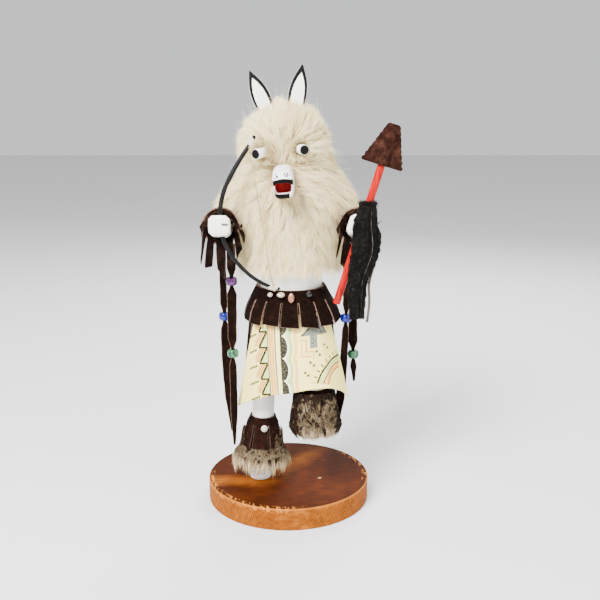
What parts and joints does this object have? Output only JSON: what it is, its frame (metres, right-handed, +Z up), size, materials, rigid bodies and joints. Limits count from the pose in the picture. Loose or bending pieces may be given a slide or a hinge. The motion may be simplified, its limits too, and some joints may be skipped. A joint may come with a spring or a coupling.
{
  "type": "kachina doll",
  "caption": "Standing dancer doll on a round wooden base, one knee raised, with a fur hood, tall ears, a bow and a lance, a suede kilt, a printed apron and fur boots.",
  "frame": {"origin": "centre of the round base's underside", "axes": "+Z up; the doll faces -Y; +X towards the lance, the picture's right"},
  "size_m": [0.159, 0.14, 0.3687],
  "materials": {
    "base_wood": "stained, satin",
    "white_paint": "white paint, satin",
    "face_paint": "white, black and red paint, satin",
    "white_fur": "long cream fur",
    "brown_fur": "streaked grey and brown fur",
    "brown_suede": "suede",
    "black_suede": "suede with pale specks",
    "printed_cloth": "cream cloth with a printed pattern",
    "black_paint": "gloss paint",
    "red_paint": "gloss paint",
    "twine": "twisted",
    "violet_bead": "pearly",
    "blue_bead": "gloss",
    "green_bead": "pearly",
    "black_bead": "gloss",
    "shell": "polished",
    "coral_stone": "polished"
  },
  "bodies": {
    "root": {"base": "base_wood", "torso": "white_paint", "leg_standing": "white_paint", "leg_raised": "white_paint", "arm_bow_side": "white_paint", "arm_lance_side": "white_paint", "fur_hood": "white_fur", "muzzle": "face_paint", "eye_bow_side": "face_paint", "eye_lance_side": "face_paint", "ear_bow_side": "face_paint", "ear_lance_side": "face_paint", "bow_stave": "black_paint", "bow_string": "twine", "bow_wrap_top": "twine", "bow_wrap_low": "twine", "lance_shaft": "red_paint", "lance_head": "brown_suede", "lance_banner": "black_suede", "lance_strand": "black_suede", "kilt": "brown_suede", "belt_flap": "brown_suede", "kilt_apron": "printed_cloth", "belt_shell": "shell", "belt_stone_pale": "shell", "belt_stone_coral": "coral_stone", "belt_bead_black": "black_bead", "boot_cuff_standing": "brown_suede", "boot_cuff_raised": "brown_suede", "boot_fur_standing": "brown_fur", "boot_fur_raised": "brown_fur", "boot_button": "shell", "sleeve_cuff_bow_side": "brown_suede", "sleeve_cuff_lance_side": "brown_suede", "thong_bow_outer": "brown_suede", "thong_bow_inner": "brown_suede", "thong_lance_front": "brown_suede", "thong_lance_back": "brown_suede", "bead_bow_outer_blue": "blue_bead", "bead_bow_inner_violet": "violet_bead", "bead_bow_inner_green": "green_bead", "bead_lance_front_blue": "blue_bead", "bead_lance_back_green": "green_bead"}
  },
  "joints": []
}
